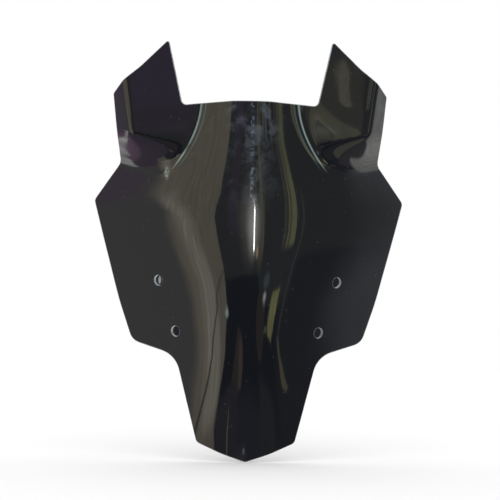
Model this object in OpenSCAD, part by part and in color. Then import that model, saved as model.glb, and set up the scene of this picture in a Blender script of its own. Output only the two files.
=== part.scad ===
// Windshield screen for a motorcycle: one thermoformed sheet of dark smoked
// acrylic, trimmed all round and drilled for the four screws that hold it.
// Millimetres. +Z is up, X runs across, and the windward face looks towards -Y.
// The origin is the centre of the four fixing holes.

/* [Sheet] */
// Thickness of the acrylic
sheet_t = 3; // [2:0.5:4]
// Slope that the flanks settle to, as depth over width
flank_slope = 0.757; // [0.5:0.001:0.9]
// Radius of the long bow from the top edge to the chin
bow_r = 900; // [700:10:1500]

/* [Crown] */
// Half-width over which the crown rounds, at its narrow neck
neck_w = 28; // [22:1:34]
// Extra half-width where the crown is fullest
full_w = 17; // [8:1:24]
// Extra half-width at the chin
chin_w = 8; // [0:1:12]
// Height of the crown's fullest level above the holes
full_z = 87; // [70:1:100]
// Height over which the fullness fades
full_span = 60; // [45:1:75]

/* [Horn panels] */
// How much less the horn panels slope than the flanks
horn_push = 0.52; // [0.3:0.01:0.56]
// Distance from the middle to the crease, at the top edge
crease_x = 45; // [40:1:50]
// How far the crease runs out on its way down to the step
crease_run = 30; // [20:1:36]
// Height of the foot of the step under each panel
step_z = 129; // [124:1:134]
// Height over which the step rises
step_rise = 40; // [34:1:50]
// How much more the panels slope again at their outer margins
curl = 0.75; // [0.3:0.05:0.85]
// Distance from the middle to where the margins curl back
curl_x = 111; // [106:1:116]

/* [Outline] */
// Height of the top edge at the middle, between the horns
top_z = 196.5; // [190:0.5:205]
// Height of the horn tips
tip_z = 253.5; // [245:0.5:260]
// Half-width across the horn tips
tip_x = 78; // [76:0.5:82]
// Half-width at the waist notches
waist_x = 124; // [120:1:128]
// Half-width at the elbows, the widest level
elbow_x = 150; // [146:1:154]
// Depth of the chin's point below the holes
chin_drop = 147; // [142:1:152]

/* [Fixing holes] */
// Diameter of each fixing hole
hole_d = 10; // [6:0.5:12]
// Distance between the two upper holes
upper_span = 170; // [160:1:180]
// Distance between the two lower holes
lower_span = 136; // [128:1:146]
// Height between the two rows
row_rise = 48; // [40:1:56]

/* [Hidden] */

// Grid of the sheet before it is trimmed
blank_x = 160;      // half-width
blank_low = -156;   // lowest level
blank_high = 262;   // highest level
columns = 44;       // strips across
rows = 46;          // strips up
crown_share = 0.55; // share of even spacing; the rest crowds strips at the crown
probe = 0.05;       // step for measuring a slope
crease_fall = 70;   // drop over which the crease runs out
step_lean = 0.25;   // rise of the step's foot for each millimetre outwards
curl_lean = 0.15;   // lean of the line where the margins curl back
curl_z = 150;       // height at which that line is at curl_x
margin = 20;        // overrun of a cutting tool past the sheet

// Corners of the right half of the outline, from the top edge's middle round
// to the chin's point: [across, up, radius of the rounded corner]
half_outline = [
    [0, top_z, 560],
    [64, top_z - 6, 5],
    [tip_x, tip_z, 2],
    [105, 227.5, 60],
    [121.5, 214.5, 15],
    [131, 202, 4],
    [waist_x, 137, 9],
    [elbow_x, 101, 6],
    [124.5, 5, 300],
    [111, -34.5, 14],
    [68, -47, 24],
    [47, -129.5, 6],
    [23, -139.5, 80],
    [0, -chin_drop, 6],
];
left_half = [
    for (i = [len(half_outline) - 2 : -1 : 1])
        [-half_outline[i][0], half_outline[i][1], half_outline[i][2]]
];
corners = concat(half_outline, left_half);

function ease(t) = let (c = min(max(t, 0), 1)) c * c * (3 - 2 * c);
function unit(v) = v / norm(v);

// Half-width of the rounding at a height: fullest at full_z, then a neck, then
// a slightly broader chin
function crown_w(z) =
    neck_w + full_w * exp(-pow((z - full_z) / full_span, 2))
    + chin_w * ease((-z - 30) / (chin_drop - 30));

// Turn from level to a slope of one, smooth over a few times soft
function ramp(u, soft) = soft * ln(1 + exp(u / soft));

// How far the face is pushed forward: nothing below the step, and above it a
// panel that leaves the flank at the crease and curls back at its margin
function push(x, z) =
    let (
        out = abs(x),
        fall = max(top_z - z, 0) / crease_fall,
        crease = crease_x + crease_run * fall * fall,
        turn = curl_x + curl_lean * (z - curl_z),
        step = ease((z - step_z - step_lean * (out - waist_x)) / step_rise)
    )
    step * (horn_push * ramp(out - crease, 4) - curl * ramp(out - turn, 2));

// Depth of the windward face behind the foremost point of the crown
function depth(x, z) =
    pow(z - full_z, 2) / (2 * bow_r)
    + flank_slope * (norm([x, crown_w(z)]) - crown_w(z))
    - push(x, z);

// The four holes, as [across, up]
hole_places = [
    for (side = [-1, 1])
        each [[side * upper_span / 2, row_rise / 2], [side * lower_span / 2, -row_rise / 2]]
];
hole_depth = (depth(upper_span / 2, row_rise / 2)
    + depth(lower_span / 2, -row_rise / 2)) / 2;

// The windward face in the part's frame, and its outward direction
function face(x, z) = [x, depth(x, z) - hole_depth, z];
function outward(x, z) = unit([
    (depth(x + probe, z) - depth(x - probe, z)) / (2 * probe),
    -1,
    (depth(x, z + probe) - depth(x, z - probe)) / (2 * probe),
]);

// Where a strip lies across, for u from -1 to 1
function across(u) = blank_x * (crown_share * u + (1 - crown_share) * pow(u, 3));
function level(j) = blank_low + (blank_high - blank_low) * j / rows;

// Arc that rounds one corner of the outline
function rounded(before, corner, after, r) =
    let (
        here = [corner[0], corner[1]],
        back = unit([before[0], before[1]] - here),
        ahead = unit([after[0], after[1]] - here),
        half = acos(back * ahead) / 2,
        centre = here + unit(back + ahead) * r / sin(half),
        start = here + back * r / tan(half) - centre,
        finish = here + ahead * r / tan(half) - centre,
        from = atan2(start[1], start[0]),
        turn = atan2(finish[1], finish[0]) - from,
        sweep = turn > 180 ? turn - 360 : turn < -180 ? turn + 360 : turn,
        steps = max(2, ceil(abs(sweep) / 12))
    )
    [for (i = [0 : steps]) centre + r * [cos(from + sweep * i / steps), sin(from + sweep * i / steps)]];

module outline() {
    count = len(corners);
    polygon([
        for (i = [0 : count - 1])
            each rounded(corners[(i + count - 1) % count], corners[i],
                corners[(i + 1) % count], corners[i][2])
    ]);
}

// The formed sheet before trimming: a grid on the windward face, the same grid
// sheet_t behind it, and walls round the rim
module formed_sheet() {
    stride = columns + 1;
    layer = stride * (rows + 1);
    front = [
        for (j = [0 : rows], i = [0 : columns])
            face(across(2 * i / columns - 1), level(j))
    ];
    back = [
        for (p = front) p - sheet_t * outward(p[0], p[2])
    ];
    front_faces = [
        for (j = [0 : rows - 1], i = [0 : columns - 1])
            let (a = j * stride + i)
            each [[a, a + stride, a + stride + 1], [a, a + stride + 1, a + 1]]
    ];
    back_faces = [
        for (f = front_faces) [f[2] + layer, f[1] + layer, f[0] + layer]
    ];
    rim = concat(
        [for (i = [0 : columns]) i],
        [for (j = [1 : rows]) j * stride + columns],
        [for (i = [1 : columns]) rows * stride + columns - i],
        [for (j = [1 : rows - 1]) (rows - j) * stride]
    );
    rim_faces = [
        for (i = [0 : len(rim) - 1])
            let (a = rim[i], b = rim[(i + 1) % len(rim)])
            each [[a, b, b + layer], [a, b + layer, a + layer]]
    ];
    polyhedron(concat(front, back), concat(front_faces, back_faces, rim_faces));
}

// A drill square to the face at one hole
module drill(place) {
    axis = outward(place[0], place[1]);
    translate(face(place[0], place[1]))
        rotate([0, acos(axis[2]), atan2(axis[1], axis[0])])
            cylinder(h = 2 * margin, d = hole_d, center = true, $fn = 48);
}

module screen() {
    color("#1c1d20")
        difference() {
            intersection() {
                formed_sheet();
                rotate([90, 0, 0])
                    linear_extrude(height = 2 * (blank_x + margin), center = true)
                        outline();
            }
            for (place = hole_places) drill(place);
        }
}

screen();
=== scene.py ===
"""Looks of a motorcycle windshield screen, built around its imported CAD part.

The frame is the CAD's: metres, +Z up, X across, the windward face towards -Y, and the
origin at the centre of the four fixing holes. The sheet's formula is the CAD's own, with
its sizes in millimetres, and it is meshed here as one smooth surface with a real cut edge.
Near-black gloss shows little but its surroundings, so much of the look is the studio,
which is laid out by direction at the end.
"""

import math

import bpy
import numpy as np
from mathutils import Matrix, Vector
from mathutils.geometry import delaunay_2d_cdt


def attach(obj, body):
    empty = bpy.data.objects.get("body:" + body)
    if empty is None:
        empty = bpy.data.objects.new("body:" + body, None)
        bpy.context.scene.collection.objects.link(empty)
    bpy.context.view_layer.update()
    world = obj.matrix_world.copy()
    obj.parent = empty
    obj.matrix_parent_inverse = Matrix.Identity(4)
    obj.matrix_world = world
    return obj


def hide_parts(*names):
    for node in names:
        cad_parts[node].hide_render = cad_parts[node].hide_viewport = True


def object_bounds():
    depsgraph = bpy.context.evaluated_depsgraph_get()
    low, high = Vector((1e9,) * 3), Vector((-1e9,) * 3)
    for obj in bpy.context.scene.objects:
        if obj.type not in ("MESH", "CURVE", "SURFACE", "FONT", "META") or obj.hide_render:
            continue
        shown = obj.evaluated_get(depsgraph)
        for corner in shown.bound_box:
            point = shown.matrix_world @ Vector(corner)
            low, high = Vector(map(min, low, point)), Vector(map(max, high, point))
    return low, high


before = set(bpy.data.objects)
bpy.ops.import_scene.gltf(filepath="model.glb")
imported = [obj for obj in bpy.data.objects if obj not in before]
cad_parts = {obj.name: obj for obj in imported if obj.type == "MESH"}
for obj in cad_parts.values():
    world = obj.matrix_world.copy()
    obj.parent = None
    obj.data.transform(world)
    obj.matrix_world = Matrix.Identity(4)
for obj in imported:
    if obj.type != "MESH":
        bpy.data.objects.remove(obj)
CAD_LOW, CAD_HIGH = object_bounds()
MM = 0.001

# ---------------------------------------------------------------- the sheet's shape, in millimetres
SHEET_T = 3.0
FLANK_SLOPE = 0.757    # depth over width that the flanks settle to
BOW_R = 900.0          # the long bow from the top edge to the chin

# half-width over which the crown rounds: a neck, fuller at one level and broader at the chin
NECK_W = 28.0
FULL_W = 17.0
FULL_Z = 87.0
FULL_SPAN = 60.0
CHIN_W = 8.0
CHIN_FROM = 30.0       # how far below the holes the chin starts to broaden

# horn panels: how much less they slope, and the crease beside the crown where they start
HORN_PUSH = 0.52
CREASE_X = 45.0
CREASE_RUN = 30.0
CREASE_FALL = 70.0
CREASE_SOFT = 4.0

# the step under each panel, and the margin that curls back
STEP_Z = 129.0
STEP_RISE = 40.0
STEP_LEAN = 0.25
CURL = 0.75
CURL_X = 111.0
CURL_Z = 150.0
CURL_LEAN = 0.15
CURL_SOFT = 2.0

TOP_Z = 196.5
TIP_X = 78.0
TIP_Z = 253.5
WAIST_X = 124.0
ELBOW_X = 150.0
CHIN_DROP = 147.0

HOLE_R = 5.0
UPPER_SPAN = 170.0
LOWER_SPAN = 136.0
ROW_RISE = 48.0

# right half of the outline: across, up, radius of the rounded corner
HALF_OUTLINE = [
    (0, TOP_Z, 560),
    (64, TOP_Z - 6, 5),
    (TIP_X, TIP_Z, 2),
    (105, 227.5, 60),
    (121.5, 214.5, 15),
    (131, 202, 4),
    (WAIST_X, 137, 9),
    (ELBOW_X, 101, 6),
    (124.5, 5, 300),
    (111, -34.5, 14),
    (68, -47, 24),
    (47, -129.5, 6),
    (23, -139.5, 80),
    (0, -CHIN_DROP, 6),
]

# the cut edge
TRIM_R = 0.7           # rounding of the trimmed edge
MOUTH_R = 0.25         # rounding of the holes' mouths
EDGE_TILTS = np.radians([0, 25, 50, 75, 90])

# fineness of the mesh
PROBE = 0.05           # step for measuring a slope
SAME_PLACE = 0.05      # points of the outline closer than this are one
ARC_STEP = math.radians(8)
EDGE_GAP = 1.6         # longest stretch of the outline
HOLE_POINTS = 48
GRID_STEP = 2.6
GRID_ROW = 0.87        # height of a row of the grid, as a share of its step
GRID_CLEAR = 1.2       # how far the grid's points keep from the edges
BLANK_X = 160
BLANK_LOW = -156
BLANK_HIGH = 262


def ease(t):
    """Rises from 0 to 1, level at both ends."""
    held = np.clip(t, 0, 1)
    return held * held * (3 - 2 * held)


def crown_w(z):
    """Half-width over which the crown rounds at a level."""
    full = FULL_W * np.exp(-(((z - FULL_Z) / FULL_SPAN) ** 2))
    return NECK_W + full + CHIN_W * ease((-z - CHIN_FROM) / (CHIN_DROP - CHIN_FROM))


def ramp(past, soft):
    """Turn from level to a slope of one, smooth over a few times soft."""
    return soft * np.logaddexp(0, past / soft)


def push(x, z):
    """How far the horn panels stand forward of the flanks."""
    out = np.abs(x)
    crease = CREASE_X + CREASE_RUN * (np.maximum(TOP_Z - z, 0) / CREASE_FALL) ** 2
    turn = CURL_X + CURL_LEAN * (z - CURL_Z)
    step = ease((z - STEP_Z - STEP_LEAN * (out - WAIST_X)) / STEP_RISE)
    return step * (HORN_PUSH * ramp(out - crease, CREASE_SOFT) - CURL * ramp(out - turn, CURL_SOFT))


def depth(x, z):
    """Depth of the windward face behind the foremost point of the crown."""
    width = crown_w(z)
    return (z - FULL_Z) ** 2 / (2 * BOW_R) + FLANK_SLOPE * (np.hypot(x, width) - width) - push(x, z)


HOLES = [
    (side * span / 2, up)
    for side in (-1, 1)
    for span, up in ((UPPER_SPAN, ROW_RISE / 2), (LOWER_SPAN, -ROW_RISE / 2))
]
HOLE_DEPTH = (depth(UPPER_SPAN / 2, ROW_RISE / 2) + depth(LOWER_SPAN / 2, -ROW_RISE / 2)) / 2


def outward(x, z):
    """Outward direction of the windward face at each place."""
    slope_x = (depth(x + PROBE, z) - depth(x - PROBE, z)) / (2 * PROBE)
    slope_z = (depth(x, z + PROBE) - depth(x, z - PROBE)) / (2 * PROBE)
    normal = np.stack([slope_x, -np.ones_like(slope_x), slope_z], axis=-1)
    return normal / np.linalg.norm(normal, axis=-1, keepdims=True)


def skin(places, into):
    """Points of the sheet at these (across, up) places, so far in from the windward face."""
    x = places[:, 0]
    z = places[:, 1]
    face = np.stack([x, depth(x, z) - HOLE_DEPTH, z], axis=-1)
    return face - into * outward(x, z)


# ---------------------------------------------------------------- outline and holes, as flat loops
def rounded(before, corner, after, radius):
    """Arc that rounds one corner of the outline."""
    here = np.array(corner[:2], float)
    back = np.array(before[:2], float) - here
    ahead = np.array(after[:2], float) - here
    back /= np.linalg.norm(back)
    ahead /= np.linalg.norm(ahead)
    half = math.acos(back @ ahead) / 2
    centre = here + (back + ahead) / np.linalg.norm(back + ahead) * radius / math.sin(half)
    start = here + back * radius / math.tan(half) - centre
    finish = here + ahead * radius / math.tan(half) - centre
    first = math.atan2(start[1], start[0])
    last = math.atan2(finish[1], finish[0])
    sweep = (last - first + math.pi) % (2 * math.pi) - math.pi
    steps = max(3, math.ceil(abs(sweep) / ARC_STEP))
    angle = first + sweep * np.linspace(0, 1, steps + 1)
    return centre + radius * np.stack([np.cos(angle), np.sin(angle)], axis=-1)


def resampled(loop, gap):
    """The closed loop with no stretch longer than gap."""
    places = []
    for here, ahead in zip(loop, np.roll(loop, -1, axis=0)):
        count = max(1, math.ceil(np.linalg.norm(ahead - here) / gap))
        places += [here + (ahead - here) * i / count for i in range(count)]
    return np.array(places)


def outline():
    left = [(-x, z, radius) for x, z, radius in HALF_OUTLINE[-2:0:-1]]
    corners = HALF_OUTLINE + left
    count = len(corners)
    arcs = [
        rounded(corners[i - 1], corner, corners[(i + 1) % count], corner[2])
        for i, corner in enumerate(corners)
    ]
    loop = np.concatenate(arcs)
    distinct = np.linalg.norm(loop - np.roll(loop, 1, axis=0), axis=1) > SAME_PLACE
    return resampled(loop[distinct], EDGE_GAP)


def hole_loop(x, z):
    """The hole's mouth as seen from the front: a circle square to the sheet."""
    axis = outward(np.array([x]), np.array([z]))[0]
    side = np.cross(axis, (0, 0, 1))
    side /= np.linalg.norm(side)
    up = np.cross(side, axis)
    angle = np.linspace(0, 2 * math.pi, HOLE_POINTS, endpoint=False)
    ring = HOLE_R * (np.cos(angle)[:, None] * side + np.sin(angle)[:, None] * up)
    return np.array([x, z]) + ring[:, [0, 2]]


def clockwise(loop):
    ahead = np.roll(loop, -1, axis=0)
    area = np.sum(loop[:, 0] * ahead[:, 1] - ahead[:, 0] * loop[:, 1])
    return loop if area < 0 else loop[::-1].copy()


def loop_out(loop):
    """Unit direction out of the material at each point of a loop that runs clockwise round it."""
    along = np.roll(loop, -1, axis=0) - np.roll(loop, 1, axis=0)
    out = np.stack([-along[:, 1], along[:, 0]], axis=-1)
    return out / np.linalg.norm(out, axis=1, keepdims=True)


def inside(places, loop):
    """Which places lie inside the loop, by how many of its sides lie to their right."""
    within = np.zeros(len(places), bool)
    for (x1, z1), (x2, z2) in zip(loop, np.roll(loop, -1, axis=0)):
        if z1 == z2:
            continue
        level = (places[:, 1] >= min(z1, z2)) & (places[:, 1] < max(z1, z2))
        side_x = x1 + (places[:, 1] - z1) * (x2 - x1) / (z2 - z1)
        within ^= level & (places[:, 0] < side_x)
    return within


def in_sheet(places, loops):
    """Which places lie inside the outline, the first loop, and outside every hole."""
    keep = inside(places, loops[0])
    for hole in loops[1:]:
        keep &= ~inside(places, hole)
    return keep


def away(places, loops, gap):
    """Which places keep this gap from every point of the loops."""
    keep = np.ones(len(places), bool)
    for point in np.concatenate(loops):
        keep &= np.hypot(*(places - point).T) > gap
    return keep


# ---------------------------------------------------------------- the sheet's mesh
def filled(loops):
    """Places on the loops and on a grid between them, and the triangles that join them."""
    columns = np.arange(-BLANK_X, BLANK_X, GRID_STEP)
    rows = np.arange(BLANK_LOW, BLANK_HIGH, GRID_STEP * GRID_ROW)
    grid = np.array([
        (x + (row % 2) * GRID_STEP / 2, z)
        for row, z in enumerate(rows)
        for x in columns
    ])
    grid = grid[in_sheet(grid, loops)]
    grid = grid[away(grid, loops, GRID_CLEAR)]
    places = np.concatenate(loops + [grid])
    edges = []
    for loop in loops:
        start = len(edges)
        count = len(loop)
        edges += [(start + i, start + (i + 1) % count) for i in range(count)]
    cut = delaunay_2d_cdt([Vector(place) for place in places], edges, [], 0, 1e-5)
    assert len(cut[0]) == len(places), (len(cut[0]), len(places))
    own_place = np.array([sources[0] for sources in cut[3]])
    triangles = own_place[np.array(cut[2])]
    triangles = triangles[in_sheet(places[triangles].mean(axis=1), loops)]
    # wind them so that the windward side faces -Y
    corners = places[triangles]
    one = corners[:, 1] - corners[:, 0]
    other = corners[:, 2] - corners[:, 0]
    backwards = one[:, 0] * other[:, 1] < one[:, 1] * other[:, 0]
    triangles[backwards] = triangles[backwards][:, ::-1]
    return places, triangles


def edge_profile(radius):
    """(how far in from the outline, how deep, tilt of the normal from the face) across the edge."""
    front = [(radius * (1 - math.sin(tilt)), radius * (1 - math.cos(tilt)), tilt) for tilt in EDGE_TILTS]
    back = [(inwards, SHEET_T - deep, math.pi - tilt) for inwards, deep, tilt in reversed(front)]
    return front + back


def edge_rings(loop, out, radius):
    """Points and normals of the cut edge's rings, from the windward face to the back."""
    facing = outward(loop[:, 0], loop[:, 1])
    # direction square to the edge, lying in the sheet
    side = np.stack([out[:, 0], np.zeros(len(loop)), out[:, 1]], axis=-1)
    side -= np.sum(side * facing, axis=1, keepdims=True) * facing
    side /= np.linalg.norm(side, axis=1, keepdims=True)
    for inwards, deep, tilt in edge_profile(radius)[1:-1]:
        normals = math.cos(tilt) * facing + math.sin(tilt) * side
        yield skin(loop - out * inwards, deep), normals


def build_sheet():
    loops = [clockwise(outline())] + [clockwise(hole_loop(*hole))[::-1] for hole in HOLES]
    outs = [loop_out(loop) for loop in loops]
    radii = [TRIM_R] + [MOUTH_R] * len(HOLES)
    inset = [loop - out * radius for loop, out, radius in zip(loops, outs, radii)]

    # the windward face, and the same face one thickness behind it
    places, triangles = filled(inset)
    count = len(places)
    facing = outward(places[:, 0], places[:, 1])
    points = [skin(places, 0), skin(places, SHEET_T)]
    normals = [facing, -facing]
    faces = [tuple(corners) for corners in triangles]
    faces += [tuple(corners[::-1] + count) for corners in triangles]
    slots = [0] * len(faces)

    # the cut edge, with the second material
    total = 2 * count
    start = 0
    for loop, out, radius in zip(loops, outs, radii):
        ring = np.arange(len(loop))
        rings = [start + ring]
        for ring_points, ring_normals in edge_rings(loop, out, radius):
            points.append(ring_points)
            normals.append(ring_normals)
            rings.append(total + ring)
            total += len(loop)
        rings.append(start + count + ring)
        for near, far in zip(rings, rings[1:]):
            faces += zip(near, np.roll(near, -1), np.roll(far, -1), far)
            slots += [1] * len(loop)
        start += len(loop)

    points = np.concatenate(points) * MM
    normals = np.concatenate(normals)
    mesh = bpy.data.meshes.new("smoked_screen")
    mesh.from_pydata(
        [tuple(point) for point in points],
        [],
        [tuple(int(corner) for corner in face) for face in faces],
    )
    mesh.polygons.foreach_set("material_index", slots)
    mesh.polygons.foreach_set("use_smooth", [True] * len(faces))
    mesh.validate()
    mesh.update()
    mesh.normals_split_custom_set_from_vertices([tuple(normal) for normal in normals])
    piece = bpy.data.objects.new("smoked_screen", mesh)
    bpy.context.scene.collection.objects.link(piece)
    return piece


# ---------------------------------------------------------------- node helpers
def feed(tree, socket, value):
    """Sets a socket to a number or colour, or links it to another node's output."""
    if isinstance(value, bpy.types.NodeSocket):
        tree.links.new(value, socket)
    else:
        socket.default_value = value


def calc(tree, operation, *values):
    node = tree.nodes.new("ShaderNodeMath")
    node.operation = operation
    for socket, value in zip(node.inputs, values):
        feed(tree, socket, value)
    return node.outputs[0]


def product(tree, *factors):
    total = factors[0]
    for factor in factors[1:]:
        total = calc(tree, "MULTIPLY", total, factor)
    return total


def rise(tree, value, start, soft):
    """0 below start and 1 above it, blended smoothly over the width soft."""
    node = tree.nodes.new("ShaderNodeMapRange")
    node.interpolation_type = "SMOOTHSTEP"
    feed(tree, node.inputs["Value"], calc(tree, "SUBTRACT", value, start))
    node.inputs["From Min"].default_value = -soft / 2
    node.inputs["From Max"].default_value = soft / 2
    return node.outputs[0]


def between(tree, value, low, high, soft_low, soft_high):
    return product(tree, rise(tree, value, low, soft_low), rise(tree, high, value, soft_high))


def bent(tree, value, *points):
    """A line of straight stretches through (value, result) points, level past both ends."""
    total = points[0][1]
    for (value_1, result_1), (value_2, result_2) in zip(points, points[1:]):
        node = tree.nodes.new("ShaderNodeMapRange")
        feed(tree, node.inputs["Value"], value)
        node.inputs["From Min"].default_value = value_1
        node.inputs["From Max"].default_value = value_2
        node.inputs["To Max"].default_value = result_2 - result_1
        total = calc(tree, "ADD", total, node.outputs[0])
    return total


def spot(tree, across, up, centre, radii, edge=0.5):
    """1 inside an oval and 0 outside it; edge is the share of the radius that blends."""
    u = calc(tree, "DIVIDE", calc(tree, "SUBTRACT", across, centre[0]), radii[0])
    v = calc(tree, "DIVIDE", calc(tree, "SUBTRACT", up, centre[1]), radii[1])
    squares = calc(tree, "ADD", product(tree, u, u), product(tree, v, v))
    return rise(tree, 1 - edge / 2, calc(tree, "SQRT", squares), edge)


def over(tree, below, colour, mask):
    """Lays a colour over what is below, where the mask is 1."""
    node = tree.nodes.new("ShaderNodeMix")
    node.data_type = "RGBA"
    # a mix node has its factor at 0, and its two colours at 6 and 7
    feed(tree, node.inputs[0], mask)
    feed(tree, node.inputs[6], below)
    node.inputs[7].default_value = (*colour, 1)
    return node.outputs[2]


def painted(tree, base, coats):
    """The base colour under coats of (colour, mask), the last on top."""
    total = (*base, 1)
    for colour, mask in coats:
        total = over(tree, total, colour, mask)
    return total


def noise(tree, vector, scale, detail=3.0, roughness=0.5, distortion=0.0):
    node = tree.nodes.new("ShaderNodeTexNoise")
    feed(tree, node.inputs["Vector"], vector)
    node.inputs["Scale"].default_value = scale
    node.inputs["Detail"].default_value = detail
    node.inputs["Roughness"].default_value = roughness
    node.inputs["Distortion"].default_value = distortion
    return node.outputs["Fac"]


def combined(tree, x, y, z):
    node = tree.nodes.new("ShaderNodeCombineXYZ")
    for socket, value in zip(node.inputs, (x, y, z)):
        feed(tree, socket, value)
    return node.outputs[0]


def stretched(tree, axes, scales):
    """The place with each axis scaled by its own number."""
    return combined(tree, *(product(tree, axis, scale) for axis, scale in zip(axes, scales)))


def millimetres(tree):
    """The piece's own coordinates in millimetres: the vector, and its x, y and z."""
    place = tree.nodes.new("ShaderNodeTexCoord").outputs["Object"]
    scaled = tree.nodes.new("ShaderNodeVectorMath")
    scaled.operation = "SCALE"
    tree.links.new(place, scaled.inputs[0])
    scaled.inputs["Scale"].default_value = 1 / MM
    split = tree.nodes.new("ShaderNodeSeparateXYZ")
    tree.links.new(scaled.outputs[0], split.inputs[0])
    return scaled.outputs[0], split.outputs


def bump(tree, height, strength, distance, normal=None):
    node = tree.nodes.new("ShaderNodeBump")
    feed(tree, node.inputs["Height"], height)
    node.inputs["Strength"].default_value = strength
    node.inputs["Distance"].default_value = distance
    if normal is not None:
        tree.links.new(normal, node.inputs["Normal"])
    return node.outputs[0]


def new_material(name):
    material = bpy.data.materials.new(name)
    material.use_nodes = True
    tree = material.node_tree
    return material, tree, tree.nodes["Principled BSDF"].inputs


# ---------------------------------------------------------------- materials
ACRYLIC_IOR = 1.49

# marks on the polished sheet, in millimetres
MOTTLE_X = 2.6              # middle of the mottled patch
BROKEN_LINE_LOW = 96             # lowest level of the broken pale line in it
MOTTLE_HALF_W = 22
MOTTLE_LOW = 100
BLOTCH_LOW = 150
CREASE_LINE_LOW = 134     # lowest level of the line along each crease
# place and size of the painted glint where the left crease ends
GLINT_PLACE = (-78, 126)
GLINT_RADII = (3.2, 8)


def polished_acrylic():
    """Near-black smoked acrylic: deep gloss, faint waves from forming, dust, rubs and scratches."""
    material, tree, shader = new_material("smoked_acrylic_polished")
    place, (x, y, z) = millimetres(tree)

    # mottled bluish patch up the middle of the crown, above its fullest level, and a broken pale line
    # along its middle
    aside = calc(tree, "ABSOLUTE", calc(tree, "SUBTRACT", x, MOTTLE_X))
    patch = product(tree, rise(tree, MOTTLE_HALF_W, aside, 26), rise(tree, z, MOTTLE_LOW, 50))
    mottle = noise(tree, place, 0.085, 4, 0.55, 0.5)
    cloud = product(tree, patch, rise(tree, mottle, 0.53, 0.26))
    blotch = product(tree, patch, rise(tree, z, BLOTCH_LOW, 70), rise(tree, mottle, 0.62, 0.2))
    broken = rise(tree, noise(tree, place, 0.32, 4, 0.6), 0.55, 0.12)
    broken_line = product(tree, rise(tree, 1.5, aside, 1.8), rise(tree, z, BROKEN_LINE_LOW, 16), broken)

    # pale line that follows each horn panel's crease, and its fainter twin
    below_top = calc(tree, "MAXIMUM", calc(tree, "SUBTRACT", TOP_Z, z), 0)
    fall = calc(tree, "DIVIDE", below_top, CREASE_FALL)
    crease = calc(tree, "ADD", CREASE_X + 1, product(tree, fall, fall, CREASE_RUN))
    off = calc(tree, "SUBTRACT", calc(tree, "ABSOLUTE", x), crease)
    faded = rise(tree, noise(tree, place, 0.05, 2), 0.3, 0.4)
    reach = product(tree, rise(tree, z, CREASE_LINE_LOW, 16), faded)
    line = product(tree, reach, between(tree, off, -1.1, 0.5, 1.2, 0.8))
    twin = product(tree, reach, between(tree, off, -5.2, -4.0, 1.2, 1.2))

    # painted glint: a small bright spot where the left crease ends, broken up by noise
    glint_breakup = rise(tree, noise(tree, place, 0.5, 3, 0.6), 0.48, 0.12)
    painted_glint = product(tree, spot(tree, x, z, GLINT_PLACE, GLINT_RADII, 0.7), glint_breakup)

    # dust, rubs and fine scratches all over
    specks = tree.nodes.new("ShaderNodeTexVoronoi")
    tree.links.new(place, specks.inputs["Vector"])
    specks.inputs["Scale"].default_value = 0.16
    dusty = rise(tree, noise(tree, place, 0.03, 2), 0.5, 0.1)
    dust = product(tree, rise(tree, 0.045, specks.outputs["Distance"], 0.03), dusty)
    rubbed = noise(tree, place, 0.02, 4, 0.6, 0.5)
    scratch = noise(tree, stretched(tree, (x, y, z), (1.6, 1, 0.06)), 0.9, 2, 0.4)
    scratch = rise(tree, scratch, 0.68, 0.06)

    colour = painted(tree, (0.004, 0.004, 0.0045), (
        ((0.025, 0.029, 0.036), product(tree, cloud, 0.6)),
        ((0.07, 0.08, 0.098), product(tree, blotch, 0.6)),
        ((0.09, 0.12, 0.16), product(tree, broken_line, 0.8)),
        ((0.20, 0.27, 0.25), product(tree, line, 0.9)),
        ((0.05, 0.07, 0.08), product(tree, twin, 0.8)),
        # painted highlight: the glint where the left crease ends
        ((0.16, 0.19, 0.18), product(tree, painted_glint, 0.9)),
        ((0.18, 0.18, 0.17), dust),
    ))
    tree.links.new(colour, shader["Base Color"])

    rough = bent(tree, rubbed, (0.35, 0.02), (0.7, 0.055))
    for mark, extra in ((scratch, 0.03), (cloud, 0.12), (dust, 0.4)):
        rough = calc(tree, "ADD", rough, product(tree, mark, extra))
    tree.links.new(rough, shader["Roughness"])
    shader["IOR"].default_value = ACRYLIC_IOR

    waves = bump(tree, noise(tree, place, 0.022, 0.6, 0.3), 0.35, 0.001)
    tree.links.new(bump(tree, scratch, 0.02, 0.0001, waves), shader["Normal"])
    return material


def cut_acrylic():
    """The routed and flame-polished edge: pale satin, with fine cutter lines along it."""
    material, tree, shader = new_material("smoked_acrylic_cut_edge")
    place, axes = millimetres(tree)
    cutter = noise(tree, stretched(tree, axes, (0.1, 1, 0.1)), 2.2, 3)
    tone = noise(tree, place, 0.08, 3, 0.6)
    colour = painted(tree, (0.16, 0.172, 0.166), (
        ((0.34, 0.36, 0.35), rise(tree, tone, 0.5, 0.4)),
        ((0.05, 0.054, 0.052), product(tree, rise(tree, cutter, 0.6, 0.1), 0.6)),
    ))
    tree.links.new(colour, shader["Base Color"])
    tree.links.new(bent(tree, cutter, (0.3, 0.22), (0.7, 0.42)), shader["Roughness"])
    shader["IOR"].default_value = ACRYLIC_IOR
    tree.links.new(bump(tree, cutter, 0.3, 0.0001), shader["Normal"])
    return material


sheet = build_sheet()
sheet.data.materials.append(polished_acrylic())
sheet.data.materials.append(cut_acrylic())
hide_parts("screen")
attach(sheet, "root")

# ---------------------------------------------------------------- camera
CAMERA_DISTANCE = 2.0
VIEW_WIDTH = 0.476        # width of the picture at the place aimed at
SENSOR_WIDTH = 36         # millimetres, as Blender counts it
AIM = Vector((0.0019, 0, 0.0541))
YAW = math.radians(-0.2)
ROLL = math.radians(-0.8)

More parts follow.
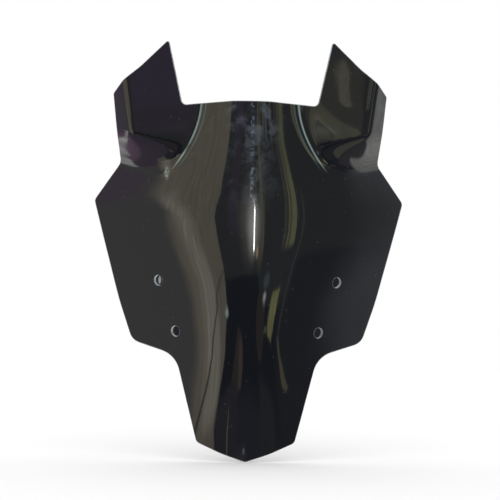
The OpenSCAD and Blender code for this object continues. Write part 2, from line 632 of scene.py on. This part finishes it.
camera_data = bpy.data.cameras.new("camera")
camera_data.sensor_width = SENSOR_WIDTH
camera_data.lens = SENSOR_WIDTH * CAMERA_DISTANCE / VIEW_WIDTH
camera = bpy.data.objects.new("camera", camera_data)
bpy.context.scene.collection.objects.link(camera)
to_camera = Vector((math.sin(YAW), -math.cos(YAW), 0))
camera_turn = to_camera.to_track_quat("Z", "Y").to_matrix() @ Matrix.Rotation(-ROLL, 3, "Z")
camera.matrix_world = Matrix.Translation(AIM + to_camera * CAMERA_DISTANCE) @ camera_turn.to_4x4()
bpy.context.scene.camera = camera

# ---------------------------------------------------------------- floor
FLOOR_R = 1.6
FLOOR_POINTS = 96
FLOOR_Z = float(CAD_LOW[2]) - 0.0005

floor_mesh = bpy.data.meshes.new("floor")
rim = [
    (FLOOR_R * math.cos(angle), FLOOR_R * math.sin(angle), FLOOR_Z)
    for angle in np.linspace(0, 2 * math.pi, FLOOR_POINTS, endpoint=False)
]
floor_mesh.from_pydata(rim, [], [tuple(range(FLOOR_POINTS))])
floor = bpy.data.objects.new("floor", floor_mesh)
bpy.context.scene.collection.objects.link(floor)
floor_material, _, floor_shader = new_material("pale_floor")
floor_shader["Base Color"].default_value = (0.93, 0.93, 0.93, 1)
floor_shader["Roughness"].default_value = 0.9
floor_shader["Specular IOR Level"].default_value = 0.0
floor.data.materials.append(floor_material)
floor.visible_glossy = False

# ---------------------------------------------------------------- studio, by direction
# Azimuth is round from the front (-Y), positive to the right, and elevation is up. Places and
# the softness of edges are in degrees. Colours are what the acrylic shows there, 0 to 255.
GLOSS = 0.039             # share of light that polished acrylic reflects
BODY = 0.004              # light that its own colour adds
DEGREES = 180 / math.pi

world = bpy.data.worlds.new("studio")
bpy.context.scene.world = world
world.use_nodes = True
sky = world.node_tree
sky.nodes.clear()
split = sky.nodes.new("ShaderNodeSeparateXYZ")
sky.links.new(sky.nodes.new("ShaderNodeTexCoord").outputs["Generated"], split.inputs[0])
dir_x, dir_y, dir_z = split.outputs
azimuth = product(sky, calc(sky, "ARCTAN2", dir_x, product(sky, dir_y, -1.0)), DEGREES)
elevation = product(sky, calc(sky, "ARCSINE", dir_z), DEGREES)
layers = []


def seen(red, green, blue):
    """The studio light that the acrylic reflects as this display colour, 0 to 255."""
    linear = [((part / 255 + 0.055) / 1.055) ** 2.4 for part in (red, green, blue)]
    return tuple(max(part - BODY, 0) / GLOSS for part in linear)


def lay(colour, *masks):
    """Adds a patch of light over the ones before it, where all its masks are 1."""
    layers.append((colour, product(sky, *masks)))


def sides(left, right, soft_left, soft_right):
    return between(sky, azimuth, left, right, soft_left, soft_right)


def levels(low, high, soft_low, soft_high):
    return between(sky, elevation, low, high, soft_low, soft_high)


def right_of(edge, soft):
    return rise(sky, azimuth, edge, soft)


def left_of(edge, soft):
    return rise(sky, edge, azimuth, soft)


def above(edge, soft):
    return rise(sky, elevation, edge, soft)


def below(edge, soft):
    return rise(sky, edge, elevation, soft)


def by_elevation(*points):
    """A number that changes with elevation, through (elevation, number) points."""
    return bent(sky, elevation, *points)


def by_azimuth(*points):
    """A number that changes with azimuth, through (azimuth, number) points."""
    return bent(sky, azimuth, *points)


def shape(centre, radii, edge=0.5):
    """An oval around an (azimuth, elevation) centre."""
    return spot(sky, azimuth, elevation, centre, radii, edge)


def line_along(course, half_width):
    off = calc(sky, "ABSOLUTE", calc(sky, "SUBTRACT", azimuth, course))
    return rise(sky, half_width, off, half_width)


def streaks(azimuth_scale, elevation_scale, low, high):
    """A factor that varies in fine stripes, mostly with azimuth."""
    place = stretched(sky, (azimuth, elevation, 0.0), (azimuth_scale, elevation_scale, 1))
    return bent(sky, noise(sky, place, 1.0, 4, 0.6, 0.3), (0.35, low), (0.65, high))


def lay_stripes(stripes, soft, *masks):
    """Upright stripes of (left, right, colour)."""
    for left, right, colour in stripes:
        lay(seen(*colour), sides(left, right, soft, soft), *masks)


def lay_room():
    """Dark below the horizon, a little paler at the foot and out to the right."""
    lay(seen(28, 29, 33), below(-25, 8))
    lay(seen(26, 27, 30), right_of(57, 8))
    horizon = by_azimuth((-45, -9.5), (-15, -8), (22, -8), (32, -12))
    lay(seen(32, 33, 34), above(horizon, 0.8), left_of(62, 4))
    lay(seen(31, 32, 33), right_of(60, 4), above(-9, 2))


def lay_left_board():
    """Grey far out to the left, and a broad olive board with a paler core and one dark line."""
    lay(seen(48, 48, 48), left_of(-65, 6), above(-34, 4))
    board_right = by_elevation(
        (-32, -55.5), (-23, -56), (-20, -54), (-17, -50), (-14, -46.5), (-11, -44.5),
        (-8.5, -44), (-5.5, -46), (0, -48), (3.5, -46.5), (6, -43.5), (12, -43), (18, -44),
    )
    board_left = by_elevation((-32, -67), (-20, -68), (-8, -68.5), (2, -68), (8, -72))
    dimmer_low_down = by_elevation((-31, 0.7), (-22, 1))
    lay(seen(72, 69, 61), sides(board_left, board_right, 3, 0.9), above(-33, 2),
        streaks(0.9, 0.12, 0.7, 1.0), dimmer_low_down)
    core_left = by_elevation((-20, -64), (-8, -65), (0, -66), (6, -70))
    core_right = by_elevation((-20, -54), (-14, -55), (-8, -59), (-2, -61), (6, -67))
    lay(seen(97, 96, 88), sides(core_left, core_right, 4, 5), levels(-22, 7, 6, 7),
        streaks(1.2, 0.1, 0.2, 0.9))
    dark_line = by_elevation((-25, -69), (-20, -66), (-15, -62), (-11.5, -56), (-8.6, -44))
    lay(seen(44, 43, 39), below(-8.6, 0.6), line_along(dark_line, 0.6))


def lay_right_strips():
    """Grey far out to the right, upright strips nearer the front, and small shapes below them."""
    lay(seen(48, 49, 51), right_of(75, 8), above(-18, 4))
    strips = (
        (50.4, 51.7, (46, 49, 47)),
        (51.7, 53.5, (42, 41, 36)),
        (53.5, 54.3, (70, 68, 57)),
        (54.3, 55.6, (54, 54, 45)),
        (55.6, 58.3, (69, 71, 54)),
    )
    fainter_above = by_elevation((9, 1.0), (12, 0.7))
    lay_stripes(strips, 0.25, fainter_above, above(-6.3, 1.5))
    thin_line = by_elevation((-14.3, 58), (-13.3, 59), (-12.5, 60), (-11.3, 61), (-5, 61.3), (6, 61.5))
    lay(seen(42, 44, 43), line_along(thin_line, 0.35), levels(-14.5, 8, 0.5, 3))
    wedge_left = by_elevation((-17, 61.3), (-16.3, 60.5), (-15.3, 59.4), (-14.1, 57.3))
    wedge_right = by_elevation((-17, 63.3), (-16.3, 64.3), (-15.3, 62), (-14.1, 58.7))
    lay(seen(56, 54, 44), levels(-17.2, -14.1, 0.5, 0.3), sides(wedge_left, wedge_right, 0.5, 0.5))
    khaki_left = by_elevation((-15, 47.3), (-14, 46.8), (-12.5, 47.6), (-11, 50.2))
    khaki_right = by_elevation((-15, 52), (-14.1, 53.3), (-13.3, 54.3), (-12.5, 55.3), (-11, 56.4))
    lay(seen(92, 91, 63), levels(-15.1, -11, 0.3, 0.4), sides(khaki_left, khaki_right, 2.2, 0.5),
        streaks(2.4, 0.3, 0.35, 1.0))
    tail_low = by_azimuth((38, -15.9), (44, -15.1))
    tail_high = by_azimuth((38, -15.5), (44, -14.4))
    lay(seen(52, 56, 50), sides(36, 46, 5, 2), levels(tail_low, tail_high, 0.2, 0.2))


def lay_low_things():
    """Paler ground to the left and right, dull brown things on it, and small bright ones."""
    lay(seen(31, 31, 34), sides(-54, -22, 2, 8), below(-21, 3))
    lay(seen(29, 30, 32), sides(34, 54, 8, 6), below(-20, 4))
    brown_left = by_elevation((-24, -20), (-20.5, -37), (-16, -27))
    brown_right = by_elevation((-24, -15), (-20, -10.5), (-17, -14), (-15, -22))
    lay(seen(35, 32, 32), levels(-24, -15.5, 1, 1), sides(brown_left, brown_right, 1.2, 1.2))
    lay(seen(49, 43, 40), levels(-24, -17, 1, 3), sides(-22, brown_right, 8, 1.2))
    lay(seen(34, 31, 31), shape((33, -14), (9.5, 4.8), 0.15))
    lay(seen(46, 51, 54), shape((39, -9.3), (6, 1.2)))
    lay(seen(128, 136, 132), shape((38.6, -11.3), (3.8, 0.85), 1))
    lay(seen(104, 116, 112), shape((-45, -12.6), (3.6, 1.1), 0.8))
    short_line = by_elevation((-30, -40), (-24, -39))
    lay(seen(76, 78, 68), line_along(short_line, 0.5), levels(-31, -25, 2, 5))
    lay(seen(74, 86, 86), shape((-4, -33), (3.5, 0.7)))
    lay(seen(130, 108, 92), shape((18.5, -4.6), (4, 1.5), 0.8))


def lay_purple():
    """Dull purple where the left horn panel looks, and low down to the left."""
    lay(seen(38, 36, 41), sides(-33, -19, 6, 5), above(-3, 5))
    lay(seen(41, 37, 46), sides(-33, -19, 6, 5), above(14, 12))
    lay(seen(42, 38, 45), left_of(0, 20), below(-33, 4))
    lay(seen(43, 38, 45), left_of(-70, 2), below(-18, 6))


def lay_olive_wall():
    """Where the right horn panel looks: a softly swirled olive wall, two thin lines and an oval."""
    place = stretched(sky, (azimuth, elevation, 0.0), (0.3, 0.06, 1))
    swirls = bent(sky, noise(sky, place, 1.0, 1, 0.5, 0.8), (0.35, 0.6), (0.56, 1.0))
    lay(seen(42, 42, 40), sides(19.5, 28.5, 2, 1.5), levels(-6, 60, 5, 1))
    wall_right = by_elevation((-3, 28.5), (4, 25), (10, 23.5), (17, 22.6))
    lay(seen(59, 59, 51), sides(19.5, wall_right, 2, 0.5), levels(-6, 19, 5, 3), swirls)
    dark_line = by_elevation((-3, 23), (1, 22.4), (6, 21.5), (11, 21.2))
    lay(seen(36, 38, 38), line_along(dark_line, 0.12), levels(-5, 11, 3, 3))
    pale_line = by_elevation((-3, 23.6), (1, 22.9), (6, 22), (9, 21.8))
    lay(seen(84, 84, 76), line_along(pale_line, 0.1), levels(-2, 9, 3, 4))
    lay(seen(36, 38, 42), sides(20, 26, 2, 0.5), above(23, 3))
    lay(seen(47, 48, 47), sides(27.3, 29, 0.4, 2), above(22, 3))
    lay(seen(64, 63, 57), shape((26.1, 18.9), (0.75, 4.4), 0.3))


def lay_right_ground():
    """Olive and grey ground low down to the right, and upright stripes high above it."""
    lay(seen(52, 52, 47), sides(22, 62, 12, 8), below(-35, 3))
    lay(seen(37, 37, 39), right_of(64, 8), below(-26, 6))
    stripes = (
        (31, 35, (56, 55, 46)),
        (36.5, 38, (74, 78, 72)),
        (38, 39.5, (34, 50, 78)),
        (40, 43, (24, 26, 30)),
        (44, 46, (62, 60, 48)),
    )
    lay_stripes(stripes, 0.8, above(13, 3))


def lay_far_sides():
    """What the curled margins see: purple and a pale slanting band on the left, grey on the right."""
    lay(seen(49, 45, 51), sides(-124, -82, 8, 5), levels(-24, 30, 6, 10))
    lay(seen(56, 46, 55), sides(-124, -94, 8, 10), below(-22, 8))
    lay(seen(49, 44, 51), sides(-124, -74, 8, 3), levels(6, 30, 8, 10))
    band = by_elevation((-33, -114), (-29, -101), (-19, -88))
    lay(seen(104, 106, 104), line_along(band, 5), levels(-35, -14, 2, 6), streaks(0.3, 0.15, 0.4, 1.0))
    lay(seen(84, 85, 83), right_of(80, 4), levels(-44, 14, 6, 6), streaks(0.3, 0.15, 0.6, 1.0))


def lay_lamps():
    """A broad glow in front, then a bright strip, and soft boxes overhead and behind."""
    lay(seen(66, 66, 63), shape((3, 0.5), (29, 9), 1))
    lay(seen(114, 114, 110), shape((9, -0.8), (16, 6.2), 1))
    # these three are given as light itself
    lay((60, 60, 60), sides(10.6, 12.2, 0.5, 0.5), levels(-4.2, 2.0, 0.5, 1))
    lay((1.6, 1.6, 1.65), above(52, 14))
    either_side = calc(sky, "ABSOLUTE", azimuth)
    lay((1.2, 1.2, 1.25), between(sky, either_side, 125, 160, 12, 12), levels(-8, 38, 10, 12))


def background(colour):
    node = sky.nodes.new("ShaderNodeBackground")
    feed(sky, node.inputs["Color"], colour)
    return node.outputs[0]


def choose(choice, otherwise, chosen):
    node = sky.nodes.new("ShaderNodeMixShader")
    sky.links.new(choice, node.inputs[0])
    sky.links.new(otherwise, node.inputs[1])
    sky.links.new(chosen, node.inputs[2])
    return node.outputs[0]


lay_room()
lay_left_board()
lay_right_strips()
lay_low_things()
lay_purple()
lay_olive_wall()
lay_right_ground()
lay_far_sides()
lay_lamps()
reflected = background(painted(sky, seen(20, 22, 26), layers))

# the camera sees plain white, with a painted shadow straight behind the screen and a painted
# sliver of light in it, which show through the holes
sideways = product(sky, dir_x, DEGREES)
behind = rise(sky, dir_y, 0, 0.1)
# painted shadow behind the screen, and a painted sliver of light inside it
painted_shadow_behind = product(sky, spot(sky, sideways, elevation, (0.1, -1.35), (3.3, 1.5), 0.1), behind)
painted_light_sliver = product(sky, spot(sky, sideways, elevation, (-2.25, -0.85), (0.045, 0.12), 0.3), behind)
backdrop = background(painted(sky, (1, 1, 1), (
    ((0.016, 0.016, 0.021), painted_shadow_behind),
    ((0.22, 0.27, 0.30), painted_light_sliver),
)))

path = sky.nodes.new("ShaderNodeLightPath").outputs
even_light = background((1.12, 1.12, 1.12, 1))
result = choose(path["Is Diffuse Ray"], reflected, even_light)
result = choose(path["Is Camera Ray"], result, backdrop)
sky.links.new(result, sky.nodes.new("ShaderNodeOutputWorld").inputs[0])

world.cycles.sampling_method = "NONE"
bpy.context.scene.view_settings.view_transform = "Standard"
